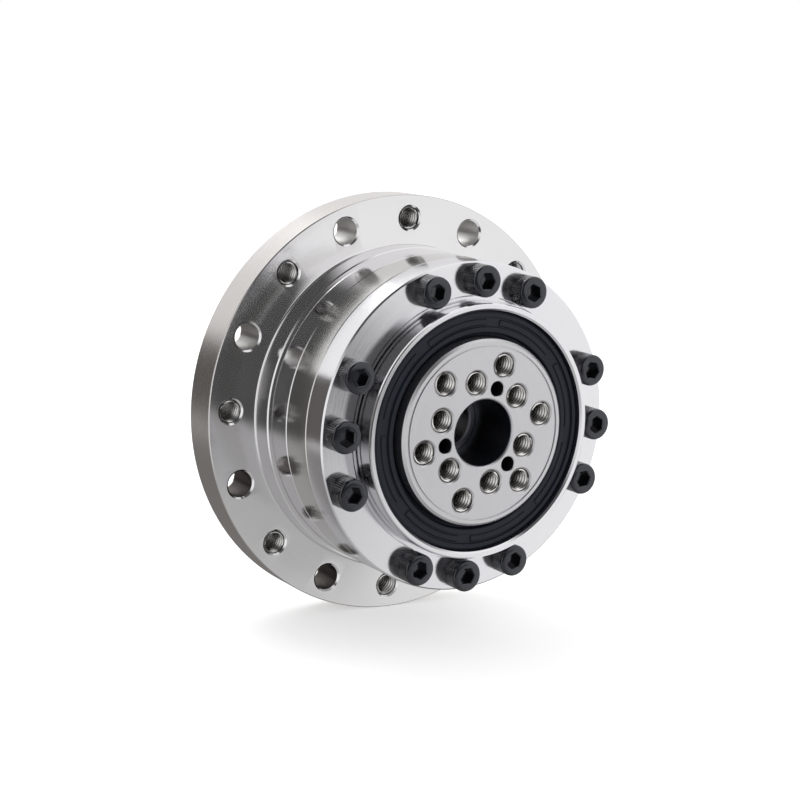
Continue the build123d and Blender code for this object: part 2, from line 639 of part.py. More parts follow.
def bearing_inner_race():
    """Thin inner race, pressed on the oval plug."""
    land = INNER_GROOVE + GROOVE_DEPTH
    race = oval(land, BEARING_BACK, BEARING_FRONT) - oval(RACE_BORE, BEARING_BACK, BEARING_FRONT)
    return race - (race_groove(land + GROOVE_DEPTH) - race_groove(INNER_GROOVE))


def ball():
    """A bearing ball drawn with flat facets, because there are many of them."""
    rings = []
    for latitude in BALL_LATITUDES:
        reach = BALL_RADIUS * math.cos(math.radians(latitude))
        height = BALL_RADIUS * math.sin(math.radians(latitude))
        turns = [math.radians(angle) for angle in evenly(BALL_SIDES)]
        rings.append([(reach * math.cos(turn), reach * math.sin(turn), height) for turn in turns])
    faces = [Face(Wire.make_polygon(rings[0], close=True)), Face(Wire.make_polygon(rings[-1], close=True))]
    for lower, upper in zip(rings, rings[1:]):
        for index in range(BALL_SIDES):
            after = (index + 1) % BALL_SIDES
            corners = [lower[index], lower[after], upper[after], upper[index]]
            faces.append(Face(Wire.make_polygon(corners, close=True)))
    return Solid(Shell(faces))


def bearing_balls():
    """The balls of the flexible bearing on the oval pitch line."""
    piece = Pos(0, 0, MESH_CENTRE) * ball()
    balls = []
    for angle in evenly(BALL_COUNT):
        balls += around(piece, oval_radius(BALL_PITCH, angle), [angle])
    return balls


def bearing_cage():
    """Comb cage: a ring at the back with a finger between each pair of balls."""
    inner = BALL_PITCH - CAGE_THICKNESS / 2
    outer = BALL_PITCH + CAGE_THICKNESS / 2
    back = BEARING_BACK + CAGE_SIDE_GAP
    root = MESH_CENTRE - BALL_RADIUS - CAGE_BALL_GAP
    cage = oval(outer, back, root) - oval(inner, back, root)
    room = 2 * math.pi * (BALL_PITCH - DEFLECTION) / BALL_COUNT - 2 * BALL_RADIUS
    finger_width = room - 2 * CAGE_SIDE_GAP
    finger_height = BALL_RADIUS + CAGE_BALL_GAP + CAGE_SIDE_GAP
    finger = Pos(0, 0, root) * Box(
        CAGE_THICKNESS / 2, finger_width, finger_height, align=(Align.CENTER, Align.CENTER, Align.MIN)
    )
    for angle in evenly(BALL_COUNT, 180 / BALL_COUNT):
        cage += around(finger, oval_radius(BALL_PITCH, angle), [angle])
    return cage


def wave_plug():
    """Oval plug, with the recess and the two tongues that the coupling ring slides on."""
    recess_radius = COUPLING_RADIUS + COUPLING_PLAY
    plug = oval(PLUG_RADIUS, BEARING_BACK, BEARING_FRONT)
    plug -= drum(recess_radius, BEARING_BACK, COUPLING_FLOOR)
    tongue = Pos(0, 0, COUPLING_FLOOR) * Box(
        2 * recess_radius,
        COUPLING_BAR_WIDTH,
        COUPLING_BAR_THICKNESS,
        align=(Align.CENTER, Align.CENTER, Align.MAX),
    )
    plug += tongue & drum(recess_radius, BEARING_BACK, COUPLING_FLOOR)
    return plug - drum(PLUG_BORE_RADIUS + COUPLING_PLAY, BEARING_BACK, COUPLING_FLOOR) - drum(
        PLUG_BORE_RADIUS, COUPLING_FLOOR, BEARING_FRONT
    )


def coupling_slot(along_x):
    """Slot across one face of the coupling ring."""
    length = 2 * (COUPLING_RADIUS + COUPLING_PLAY)
    width = COUPLING_BAR_WIDTH + 2 * COUPLING_SIDE_PLAY
    return Box(length if along_x else width, width if along_x else length, 2 * COUPLING_BAR_THICKNESS)


def coupling_ring():
    """Sliding cross coupling between hub and plug: a slot on each face, square to each other."""
    ring = drum(COUPLING_RADIUS, COUPLING_BACK, COUPLING_FLOOR)
    ring -= drum(PLUG_BORE_RADIUS + COUPLING_PLAY, COUPLING_BACK, COUPLING_FLOOR)
    ring -= Pos(0, 0, COUPLING_FLOOR) * coupling_slot(True)
    return ring - Pos(0, 0, COUPLING_BACK) * coupling_slot(False)


def input_hub():
    """Input hub with its bore, its cross bar for the coupling ring and the groove of the snap ring."""
    back = COUPLING_BACK - HUB_COLLAR_LENGTH
    nose = BEARING_FRONT + HUB_NOSE
    groove_floor = HUB_RADIUS - SNAP_GROOVE_DEPTH
    groove_top = WASHER_FRONT + SNAP_RING_THICKNESS + SNAP_FIT
    hub = turned(
        (HUB_BORE_RADIUS + HUB_CHAMFER, back),
        (HUB_COLLAR_RADIUS - HUB_CHAMFER, back),
        (HUB_COLLAR_RADIUS, back + HUB_CHAMFER),
        (HUB_COLLAR_RADIUS, COUPLING_BACK),
        (HUB_RADIUS, COUPLING_BACK),
        (HUB_RADIUS, WASHER_FRONT),
        (groove_floor, WASHER_FRONT),
        (groove_floor, groove_top),
        (HUB_RADIUS, groove_top),
        (HUB_RADIUS, nose),
        (HUB_BORE_RADIUS, nose),
        (HUB_BORE_RADIUS, back + HUB_CHAMFER),
    )
    bar = Pos(0, 0, COUPLING_BACK) * Box(
        COUPLING_BAR_WIDTH,
        2 * COUPLING_RADIUS,
        COUPLING_BAR_THICKNESS,
        align=(Align.CENTER, Align.CENTER, Align.MIN),
    )
    hub += bar & drum(COUPLING_RADIUS - COUPLING_PLAY, COUPLING_BACK, COUPLING_FLOOR)
    hub -= drum(HUB_BORE_RADIUS, COUPLING_BACK, COUPLING_FLOOR)
    hole = prism(SET_SCREW_RADIUS, SHANK_SIDES, 0, HUB_COLLAR_RADIUS)
    bore = Pos(0, 0, set_screw_height()) * Rot(0, 90, 0) * hole
    return hub - [Rot(0, 0, angle) * bore for angle in (0, 90)]


def set_screw_height():
    """The set screws stand in the middle of the hub's collar."""
    return COUPLING_BACK - HUB_COLLAR_LENGTH / 2


def hub_set_screws():
    """Two socket set screws, square to each other, that grip the motor shaft."""
    outer_end = HUB_COLLAR_RADIUS - SET_SCREW_SINK
    screw = prism(SET_SCREW_RADIUS - THREAD_FIT, SHANK_SIDES, outer_end - SET_SCREW_LENGTH, outer_end)
    screw -= hexagon(2 * SET_SCREW_SOCKET, outer_end - SET_SCREW_RADIUS, outer_end)
    lying = Pos(0, 0, set_screw_height()) * Rot(0, 90, 0) * screw
    return [Rot(0, 0, angle) * lying for angle in (0, 90)]


def rub_washer():
    """Thrust washer between the plug and the snap ring."""
    disc = prism(WASHER_RADIUS, THIN_RING_SIDES, BEARING_FRONT, WASHER_FRONT)
    return disc - prism(HUB_RADIUS + WASHER_CLEARANCE, THIN_RING_SIDES, BEARING_FRONT, WASHER_FRONT)


def snap_ring():
    """Open ring in the hub's groove that keeps plug and coupling together."""
    inner = HUB_RADIUS - SNAP_GROOVE_DEPTH + SNAP_FIT
    top = WASHER_FRONT + SNAP_RING_THICKNESS
    ring = prism(inner + SNAP_RING_WIDTH, THIN_RING_SIDES, WASHER_FRONT, top)
    ring -= prism(inner, THIN_RING_SIDES, WASHER_FRONT, top)
    opening = Pos(inner, 0, WASHER_FRONT) * Box(
        4 * SNAP_RING_WIDTH, SNAP_RING_GAP, SNAP_RING_THICKNESS, align=(Align.CENTER, Align.CENTER, Align.MIN)
    )
    return ring - opening


PIECES = {
    "case": case,
    "rear_bearing_ring": rear_bearing_ring,
    "front_bearing_ring": front_bearing_ring,
    "ring_screws": ring_screws,
    "crossed_rollers": crossed_rollers,
    "roller_spacers": roller_spacers,
    "output_flange": output_flange,
    "seal_rubber": seal_rubber,
    "seal_stiffener": seal_stiffener,
    "flexspline": flexspline,
    "flexspline_clamp": flexspline_clamp,
    "flexspline_screws": flexspline_screws,
    "flexspline_dowels": flexspline_dowels,
    "circular_spline": circular_spline,
    "spline_screws": spline_screws,
    "bearing_outer_race": bearing_outer_race,
    "bearing_inner_race": bearing_inner_race,
    "bearing_balls": bearing_balls,
    "bearing_cage": bearing_cage,
    "wave_plug": wave_plug,
    "coupling_ring": coupling_ring,
    "input_hub": input_hub,
    "hub_set_screws": hub_set_screws,
    "rub_washer": rub_washer,
    "snap_ring": snap_ring,
}


def main():
    """Builds every piece, lays the axis along Y and writes one file per piece."""
    os.makedirs("parts", exist_ok=True)
    for name, make in PIECES.items():
        made = make()
        solids = made if isinstance(made, list) else [made]
        laid = [solid for piece in solids for solid in (Rot(90, 0, 0) * piece).solids()]
        export_step(Compound(children=laid) if len(laid) > 1 else laid[0], f"parts/{name}.step")


main()
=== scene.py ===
import json
import math
from collections import namedtuple

import bmesh
import bpy
from mathutils import Matrix, Vector


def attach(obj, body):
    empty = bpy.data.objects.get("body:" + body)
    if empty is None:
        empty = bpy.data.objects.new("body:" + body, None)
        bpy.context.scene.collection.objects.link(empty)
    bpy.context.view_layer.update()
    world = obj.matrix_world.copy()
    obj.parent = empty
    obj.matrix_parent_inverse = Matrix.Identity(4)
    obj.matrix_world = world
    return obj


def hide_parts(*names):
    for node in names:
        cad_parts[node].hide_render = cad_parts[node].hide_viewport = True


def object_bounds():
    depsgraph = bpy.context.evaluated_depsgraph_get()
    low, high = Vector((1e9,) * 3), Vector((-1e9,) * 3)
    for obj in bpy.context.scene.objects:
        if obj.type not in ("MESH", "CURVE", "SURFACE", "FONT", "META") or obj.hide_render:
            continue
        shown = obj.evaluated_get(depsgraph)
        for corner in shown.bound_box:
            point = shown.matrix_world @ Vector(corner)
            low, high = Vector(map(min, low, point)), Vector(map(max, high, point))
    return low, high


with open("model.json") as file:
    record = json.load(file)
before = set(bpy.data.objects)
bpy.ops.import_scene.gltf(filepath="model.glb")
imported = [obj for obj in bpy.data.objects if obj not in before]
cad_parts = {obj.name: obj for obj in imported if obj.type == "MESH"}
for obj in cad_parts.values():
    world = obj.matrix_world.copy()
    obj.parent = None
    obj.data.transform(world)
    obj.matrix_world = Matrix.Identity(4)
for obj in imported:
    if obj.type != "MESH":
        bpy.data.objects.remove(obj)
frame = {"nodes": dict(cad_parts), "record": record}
cad_low, cad_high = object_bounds()

# Sizes are in metres and angles in degrees. A height is measured along the gear axis from the
# mounting flange's back face, towards the output side, which is the frame's -Y.
MM = 0.001

# Case: mounting flange, pilot and barrel
FLANGE_BACK = 0.0
FLANGE_FRONT = 7.0 * MM
FLANGE_RADIUS = 36.5 * MM
FLANGE_EDGE = 0.15 * MM
# Tapped and plain holes take turns on the flange.
HOLE_CIRCLE = 32.5 * MM
HOLES = 8
HOLE_PHASE = 180 / HOLES
BOLT_HOLE = 2.25 * MM
HOLE_MOUTH = 0.3 * MM
PILOT_RADIUS = 28.0 * MM
PILOT_TOP = 11.5 * MM
PILOT_EDGE = 0.2 * MM
ROOT_FILLET = 0.4 * MM
ROOT_STEPS = 6
BODY_RADIUS = 27.5 * MM
CASE_FACE = 17.15 * MM
CASE_BORE = 20.0 * MM
RECESS_RADIUS = 25.32 * MM
RECESS_DEPTH = 4.0 * MM
JOINT_EDGE = 0.16 * MM

# Bearing rings, with the collar round the seal and the relief cut at its foot
RACE_PLANE = 23.7 * MM
RACE_REACH = 1.546 * MM
OUTER_APEX = 20.296 * MM
INNER_APEX = 16.704 * MM
BEARING_LAND = 18.75 * MM
RING_FACE = 28.8 * MM
RING_EDGE = 0.25 * MM
COLLAR_TOP = 33.0 * MM
COLLAR_RADIUS = 21.15 * MM
COLLAR_EDGE = 0.3 * MM
# How far the middle of the collar's rounded edge stands in and down, as shares of COLLAR_EDGE.
COLLAR_ROUND_IN = 0.35
COLLAR_ROUND_DOWN = 0.3
RELIEF_WIDTH = 0.8 * MM
RELIEF_SLOT = 0.2 * MM
RELIEF_BAND = 0.05 * MM
RELIEF_DEPTH = 0.7 * MM

# Output flange
OUTPUT_TOP = 33.6 * MM
OUTPUT_BACK = 19.4 * MM
OUTPUT_RADIUS = 15.45 * MM
OUTPUT_EDGE = 0.4 * MM
OUTPUT_SHOULDER = 27.6 * MM
OUTPUT_LAND = 18.25 * MM
FACE_GROOVE = 14.2 * MM
GROOVE_WIDTH = 0.3 * MM
GROOVE_DEPTH = 0.25 * MM
BORE_RADIUS = 5.5 * MM
BORE_DEPTH = 10.8 * MM
BORE_EDGE = 0.3 * MM
THROUGH_RADIUS = 4.4 * MM
SPIGOT_BACK = 17.6 * MM
OUTER_THREADS = 11.5 * MM
INNER_THREADS = 8.5 * MM
OUTPUT_THREADS = 6
OUTPUT_PHASE = 74.0
INNER_PHASE = OUTPUT_PHASE + 180 / OUTPUT_THREADS
DOWEL_CIRCLE = 7.5 * MM
DOWEL_RADIUS = 1.25 * MM
DOWEL_MOUTH = 0.12 * MM
DOWEL_WALL_END = 0.2 * MM
DOWELS = 3

# M4 threads of both flanges
THREAD_HOLE = 2.0 * MM
THREAD_PITCH = 0.7 * MM
# The crests stand in from the hole, which has the nominal size.
THREAD_HEIGHT = 0.36 * MM
THREAD_DEPTH = 8.0 * MM
THREAD_MOUTH = 0.25 * MM
THREAD_RUNOUT = 0.3 * MM
# A thread's net has steps round the circle and rows in each pitch.
THREAD_STEPS = 40
THREAD_ROWS = 4

# Cap screws of the front ring, in four groups of three, and of the circular spline behind
SCREW_CIRCLE = 24.5 * MM
SCREW_GROUPS = (0, 90, 180, 270)
SCREW_STEP = 22.5
SCREW_HEAD = 2.65 * MM
SCREW_HEIGHT = 3.0 * MM
SCREW_SOCKET = 2.5 * MM
SCREW_SHANK = 1.5 * MM
SCREW_TIP = 9.15 * MM
REAR_SCREW_CIRCLE = 22.0 * MM
REAR_SCREWS = 8
REAR_SCREW_PHASE = 11.25
REAR_SCREW_HEAD = 2.25 * MM
REAR_SCREW_HEIGHT = 2.5 * MM
REAR_SCREW_SOCKET = 2.0 * MM
REAR_SCREW_SHANK = 1.25 * MM
REAR_SCREW_SEAT = -4.3 * MM
REAR_SCREW_TIP = 9.0 * MM
KNURLS = 48
KNURL_STEPS = 4
KNURL_DEPTH = 0.06 * MM
HEAD_FOOT = 0.1 * MM
HEAD_EDGE = 0.42 * MM
HEAD_EDGE_STEPS = 5
KNURL_END = 1.25 * HEAD_EDGE
SOCKET_LIP = 0.15 * MM

# Shaft seal: an outer band, a sunk ring with raised pads, an inner band and the lip
SEAL_RADIUS = 20.0 * MM
SEAL_FIT = 0.02 * MM
SEAL_SEAT = 28.2 * MM
SEAL_TOP = 32.2 * MM
SEAL_SHOULDER = 0.5 * MM
SEAL_ROUND = 0.05 * MM
SEAL_SLANT = 0.1 * MM
SEAL_SINK = 0.3 * MM
OUTER_BAND = (19.45 * MM, 18.85 * MM)
INNER_BAND = (17.15 * MM, 16.5 * MM)
# Radii, and depths below the seal's top.
LIP_OUTLINE = (
    (16.35 * MM, 0.1 * MM), (16.15 * MM, 1.0 * MM), (15.55 * MM, 1.3 * MM), (15.5 * MM, 2.4 * MM),
)
LIP_ROOT = 16.3 * MM
PADS = 8
PAD_PHASE = 18.0
PAD_SPAN = 36.5
PAD_INNER = 17.35 * MM
PAD_OUTER = 18.6 * MM
PAD_FOOT = 0.35 * MM
PAD_SINK = 0.13 * MM
PAD_SLOPE = 0.24 * MM
PAD_STEPS = 24

# Balls of the flexible bearing, on the oval that the wave generator's plug gives it
BALL_RADIUS = 1.3 * MM
BALL_PITCH = 14.557 * MM
BALLS = 23
BALL_HEIGHT = -1.5 * MM
BALL_SEGMENTS = 32
BALL_RINGS = 16
DEFLECTION = 0.585 * MM

# How the meshes are made
SEGMENTS = 256
HOLE_SEGMENTS = 48
SHANK_SEGMENTS = 24
SMOOTH_ANGLE = math.radians(24)
CUTTER_OVER = 1.0 * MM
WALL_SKIN = 0.03 * MM

# The camera, fitted to the photograph and placed from the middle of the output face
CAMERA_AZIMUTH = -32.2011
CAMERA_ELEVATION = 9.5828
CAMERA_ROLL = 3.5602
CAMERA_DISTANCE = 291.138 * MM
CAMERA_SHIFT_X = 13.6108 * MM
CAMERA_SHIFT_Y = -5.3954 * MM
CAMERA_NEAR = 0.01
CAMERA_FAR = 10
# In pixels of the photograph, and the sensor's width in millimetres.
FOCAL_PIXELS = 1795.35
PHOTO_WIDTH = 800
SENSOR_WIDTH = 36.0

# What the metal mirrors: levels are shares of white, edges and soft steps are parts of a unit direction
WHITE = 1.0
FRONT_SOFT = 1 / 6
# In front there is a dark room with lit panels above, at the right and at the left.
ROOM_LEVEL = 0.10
UPPER_EDGE = 0.305
UPPER_TILT = 1.73
UPPER_SOFT = 0.04
UPPER_LEFT_END = 0.05
RIGHT_EDGE = 0.546
RIGHT_SOFT = 0.03
LEFT_EDGE = 0.72
PANEL_SOFT = 0.20
# Below, in front, there is a white table that is brighter at its right.
TABLE_EDGE = 0.233
TABLE_TILT = 0.10
TABLE_SOFT = 0.05
TABLE_LEVEL = 0.86
TABLE_NEAR = 0.44
TABLE_SIDE = 0.485
TABLE_SIDE_SOFT = 0.06
TABLE_FAR_EDGE = -0.40
# Behind there is a white backdrop that turns grey and a little warm below.
BELOW_LEVEL = 0.24
BELOW_EDGE = 1.4 / 6
BELOW_SOFT = 1 / 6
BELOW_WARMTH = 0.5
# Behind at the left there is a dark flag, with its place and edges in radians.
LEFT_FLAG_LEVEL = 0.12
LEFT_FLAG_MIDDLE = -0.07
LEFT_FLAG_HALF = 0.42
LEFT_FLAG_SOFT = 0.03
# Colours of the light, plain and where the flag and the grey backdrop are.
PLAIN = (1.0, 1.0, 1.0)
WARM = (1.0, 0.93, 0.88)

# Floor and lamps, with powers in watts
FLOOR_SIZE = 4.0
FLOOR_LIFT = 0.42
PAPER_LIGHT = (0.92, 0.92, 0.92)
PAPER_SHADE = (0.90, 0.90, 0.90)
PAPER_GRAIN = 900.0
PAPER_ROUGHNESS = 0.8
LAMP_AIM = (0, -0.015, 0)
# The key stands in front at the left, and no metal mirrors it.
KEY_PLACE = (-0.42, -0.66, 0.36)
KEY_SIZE = 0.70
KEY_POWER = 1.1
TOP_PLACE = (-0.10, 0.45, 0.60)
TOP_SIZE = 0.45
TOP_POWER = 1.2

# Finishes: a scale or fineness is in cycles per metre, and colours are linear
FINENESS = 9000.0
COARSE_FINENESS = 6000.0
BORING_FINENESS = 5000.0
REAMING_FINENESS = 4000.0
MARK_LENGTH = 0.6
MARK_ROUGHNESS = 0.6
WIDE_MARKS = 12
WIDE_SHARE = 0.6
SPOT_SCALE = 140.0
SPOT_SHARE = 0.6
SPOT_SHEEN = 0.06
SMOOTHEST = 0.04
ZONE_SOFT = 0.04 * MM
# Where a thread's colour turns from the painted shade of its root to its crest, as a share of its height.
THREAD_EDGE = 0.45
THREAD_SOFT = 0.5
# How far above the gear axis the plain holes of the mounting flange turn from painted shade to painted
# light.
PAINTED_LIGHT_EDGE = 6.0 * MM
PAINTED_LIGHT_SOFT = 40.0 * MM

# Bands of radii with a finish of their own: the flange's rim, and the wall of the output bore, darkened
# with painted shade
Zone = namedtuple("Zone", "inner outer color added_roughness")
RIM_ZONE = Zone(FLANGE_RADIUS - 0.12 * MM, FLANGE_RADIUS + 1.0 * MM, (0.60, 0.575, 0.56), 0.16)
# The bore's band is painted shade: a dark blue-grey wall.
BORE_SHADE_ZONE = Zone(BORE_RADIUS - 0.1 * MM, BORE_RADIUS + 0.1 * MM, (0.15, 0.155, 0.185), -0.04)

# Turned and ground steels
STEELS = {
    "ground_steel": dict(color=(0.72, 0.715, 0.695), roughness=0.12, marks=0.06, groove=0.000005),
    "case_steel": dict(
        color=(0.84, 0.83, 0.84), roughness=0.075, marks=0.05, groove=0.000005, zone=RIM_ZONE,
    ),
    "polished_steel": dict(
        color=(0.83, 0.825, 0.85), roughness=0.10, marks=0.04, groove=0.000005, tint=0.05,
    ),
    "satin_steel": dict(
        color=(0.735, 0.73, 0.75), roughness=0.34, marks=0.06, groove=0.00002, tint=0.05, zone=BORE_SHADE_ZONE,
    ),
    "tooth_steel": dict(
        color=(0.56, 0.56, 0.57), roughness=0.30, marks=0.10, groove=0.00003, fineness=COARSE_FINENESS,
    ),
    "bearing_steel": dict(color=(0.72, 0.73, 0.75), roughness=0.14, marks=0.05, groove=0.00001),
}

# Cut threads, with the painted shade of their roots and the colours of their crests
THREAD_STEELS = {
    "thread_steel": dict(root_shade=(0.018, 0.016, 0.014), edge=(0.92, 0.90, 0.87)),
    "oiled_thread": dict(root_shade=(0.014, 0.013, 0.013), edge=(0.66, 0.65, 0.64)),
}

# The Mix node's sockets for colours have the same names as its other ones, so they go by number.
MIX_FACTOR, MIX_FIRST, MIX_SECOND, MIX_RESULT = 0, 6, 7, 2


class Value:
    """A node's output that can be used in a Python expression."""

    def __init__(self, nodes, socket):
        self.nodes = nodes
        self.socket = socket

    def maths(self, operation, *others):
        return self.nodes.add("ShaderNodeMath", {"operation": operation}, dict(enumerate((self, *others))))

    def __add__(self, other):
        return self.maths("ADD", other)

    __radd__ = __add__

    def __mul__(self, other):
        return self.maths("MULTIPLY", other)

    __rmul__ = __mul__

    def __neg__(self):
        return self * -1.0

    def __sub__(self, other):
        return self.maths("SUBTRACT", other)

    def __rsub__(self, other):
        return -self + other

    def __truediv__(self, other):
        return self.maths("DIVIDE", other)

    def power(self, exponent):
        return self.maths("POWER", exponent)

    def clamp(self, low=0.0, high=1.0):
        return self.maths("MAXIMUM", low).maths("MINIMUM", high)

    def between(self, low, high):
        """Spreads a value of 0 to 1 from one number to another."""
        return self * (high - low) + low

    def beyond(self, edge, soft):
        """0 below an edge and 1 above it, with a soft step between."""
        return ((self - edge) / soft + 0.5).clamp()


class Nodes:
    """A node tree that is built from expressions."""

    def __init__(self, tree):
        self.tree = tree

    def connect(self, source, socket):
        """Links a value to a socket, or sets the socket to a constant."""
        if isinstance(source, Value):
            self.tree.links.new(source.socket, socket)
        else:
            socket.default_value = source

    def add(self, kind, settings=None, sockets=None, output=0):
        """Adds a node: first its settings, then the values or links of its sockets.

        It gives the output that is asked for, or all of them where output is None.
        """
        node = self.tree.nodes.new(kind)
        for key, value in (settings or {}).items():
            setattr(node, key, value)
        for key, source in (sockets or {}).items():
            self.connect(source, node.inputs[key])
        if output is None:
            return [Value(self, socket) for socket in node.outputs]
        return Value(self, node.outputs[output])

    def place(self, kind):
        """Texture coordinates of one kind."""
        return self.add("ShaderNodeTexCoord", output=kind)

    def split(self, vector):
        return self.add("ShaderNodeSeparateXYZ", sockets={0: vector}, output=None)

    def join(self, x, y, z):
        return self.add("ShaderNodeCombineXYZ", sockets={"X": x, "Y": y, "Z": z})

    def mix(self, factor, first, second):
        """Blends two colours by a factor."""
        sockets = {MIX_FACTOR: factor}
        for number, color in ((MIX_FIRST, first), (MIX_SECOND, second)):
            sockets[number] = color if isinstance(color, Value) else (*color, 1)
        return self.add("ShaderNodeMix", {"data_type": "RGBA"}, sockets, MIX_RESULT)

    def seen_by_camera(self):
        """1 for what the camera sees directly, and 0 for what lights or is mirrored in the object."""
        return self.add("ShaderNodeLightPath", output="Is Camera Ray")


class Material(Nodes):
    """A material with the coordinates of a turned piece ready to use."""

    def __init__(self, name):
        self.material = bpy.data.materials.new(name)
        self.material.use_nodes = True
        super().__init__(self.material.node_tree)
        self.shader = self.tree.nodes["Principled BSDF"]
        self.where = self.place("Object")
        x, self.along, self.height = self.split(self.where)
        self.radius = (x * x + self.height * self.height).power(0.5)
        self.across = x / self.radius
        self.up = self.height / self.radius

    def noise(self, scale, detail=3.0, roughness=0.5, vector=None, fourth=0.0):
        return self.add("ShaderNodeTexNoise", {"noise_dimensions": "4D"}, {
            "Vector": vector or self.where, "W": fourth,
            "Scale": scale, "Detail": detail, "Roughness": roughness,
        })

    def turning_marks(self, fineness):
        """Fine lines of a lathe or grinder: they follow the circle and change along axis and radius."""
        vector = self.join(self.radius * fineness, self.along * fineness, self.across * MARK_LENGTH)
        return self.noise(scale=1.0, roughness=MARK_ROUGHNESS, vector=vector, fourth=self.up * MARK_LENGTH)

    def ring_zone(self, inner, outer):
        """1 between two radii, and 0 elsewhere."""
        return self.radius.beyond(inner, ZONE_SOFT) * (outer - self.radius).beyond(0.0, ZONE_SOFT)

    def bump(self, height, strength, distance):
        sockets = {"Height": height, "Strength": strength, "Distance": distance}
        return self.add("ShaderNodeBump", sockets=sockets)

    def surface(self, **sockets):
        """Fills in the shader's sockets, where a name's spaces are underscores, and gives the material."""
        for key, source in sockets.items():
            self.connect(source, self.shader.inputs[key.replace("_", " ")])
        return self.material


def turned_steel(name, color, roughness, marks, groove, fineness=FINENESS, tint=0.12, zone=None):
    """Turned and ground steel: circular marks, a patchy sheen and a slightly darker tone in places.

    Marks is how far the lines change the roughness, groove is their depth in metres, and tint is how much
    darker the darkest places are. A zone is a band of radii with a finish of its own.
    """
    surface = Material(name)
    lines = surface.turning_marks(fineness)
    wide = surface.turning_marks(fineness / WIDE_MARKS)
    spots = surface.noise(SPOT_SCALE, detail=5.0)
    dark = [channel * (1 - tint) for channel in color]
    tone = surface.mix((spots * SPOT_SHARE + lines * (1 - SPOT_SHARE)).clamp(), dark, color)
    # Noise is a half on average, so the lines leave the given roughness where it is on the whole.
    least = roughness - marks * (1 + WIDE_SHARE) / 2
    rough = lines * marks + wide * (marks * WIDE_SHARE) + spots * SPOT_SHEEN + least
    if zone is not None:
        # The output bore's zone paints shade into its wall; the rim's zone is a finish of its own.
        inside = surface.ring_zone(zone.inner, zone.outer)
        tone = surface.mix(inside, tone, zone.color)
        rough = rough + inside * zone.added_roughness
    normal = surface.bump(lines, strength=1.0, distance=groove)
    return surface.surface(Base_Color=tone, Metallic=1.0, Roughness=rough.clamp(SMOOTHEST), Normal=normal)


def thread_steel(name, root_shade, edge):
    """Cut thread: painted shade darkens the roots, and the crests are brighter."""
    surface = Material(name)
    crest = surface.add("ShaderNodeAttribute", {"attribute_name": "crest"}, output="Fac")
    lines = surface.turning_marks(COARSE_FINENESS)
    # Painted shade: the crest attribute gives the roots a near-black colour and the crests a bright one.
    tone = surface.mix(crest.beyond(THREAD_EDGE, THREAD_SOFT), root_shade, edge)
    rough = lines.between(0.20, 0.30)
    normal = surface.bump(lines, strength=0.3, distance=0.00002)
    return surface.surface(Base_Color=tone, Metallic=1.0, Roughness=rough, Normal=normal)


def bored_steel(name):
    """Walls of the flange's plain holes: satin, with painted light in the upper holes and painted shade in
    the lower ones.
    """
    surface = Material(name)
    lines = surface.turning_marks(BORING_FINENESS)
    # Painted light and shade: bright walls in the upper holes and near-black walls in the lower holes.
    painted_light = surface.height.beyond(PAINTED_LIGHT_EDGE, PAINTED_LIGHT_SOFT)
    tone = surface.mix(painted_light, (0.07, 0.058, 0.052), (0.62, 0.61, 0.60))
    return surface.surface(Base_Color=tone, Metallic=1.0, Roughness=lines.between(0.36, 0.51))


def hole_shade(name):
    """Walls of the dowel holes: near-black painted shade, for holes that get no light."""
    surface = Material(name)
    lines = surface.turning_marks(REAMING_FINENESS)
    # Painted shade: the walls are near-black all over.
    tone = surface.mix(lines, (0.004, 0.004, 0.006), (0.012, 0.012, 0.015))
    return surface.surface(Base_Color=tone, Metallic=0.2, Roughness=lines.between(0.5, 0.7))


def black_oxide(name):
    """Blackened screws: dark grey with an oily sheen and rubbed lighter spots."""
    surface = Material(name)
    grain = surface.noise(scale=4200.0)
    worn = surface.noise(scale=300.0, detail=2.0)
    tone = surface.mix(worn.power(2.0), (0.026, 0.028, 0.036), (0.050, 0.050, 0.058))
    normal = surface.bump(grain, strength=0.12, distance=0.00001)
    return surface.surface(
        Base_Color=tone, Metallic=0.9, Roughness=grain.between(0.17, 0.25), Normal=normal,
        Coat_Weight=0.8, Coat_Roughness=0.07,
    )


def rubber(name):
    """Blue-black seal rubber, matte with fine moulded grain and a little dust."""
    surface = Material(name)
    grain = surface.noise(scale=5200.0, detail=5.0)
    dust = surface.noise(scale=260.0)
    tone = surface.mix(dust, (0.004, 0.006, 0.013), (0.010, 0.014, 0.027))
    normal = surface.bump(grain, strength=0.3, distance=0.00004)
    return surface.surface(
        Base_Color=tone, Metallic=0.0, Roughness=grain.between(0.36, 0.56), Normal=normal,
        Specular_IOR_Level=0.35,
    )


def moulded_plastic(name):
    """Natural coloured plastic of the cage and the roller spacers."""
    surface = Material(name)
    grain = surface.noise(scale=1800.0, detail=4.0)
    tone = surface.mix(grain, (0.36, 0.27, 0.15), (0.47, 0.37, 0.22))
    normal = surface.bump(grain, strength=0.15, distance=0.00003)
    return surface.surface(Base_Color=tone, Metallic=0.0, Roughness=grain.between(0.4, 0.55), Normal=normal)


def floor_paper(name):
    """White paper that glows a little for the camera alone, so that it looks as white as the backdrop."""
    surface = Material(name)
    tone = surface.mix(surface.noise(PAPER_GRAIN), PAPER_LIGHT, PAPER_SHADE)
    return surface.surface(
        Base_Color=tone, Roughness=PAPER_ROUGHNESS,
        Emission_Color=surface.seen_by_camera(), Emission_Strength=FLOOR_LIFT,
    )


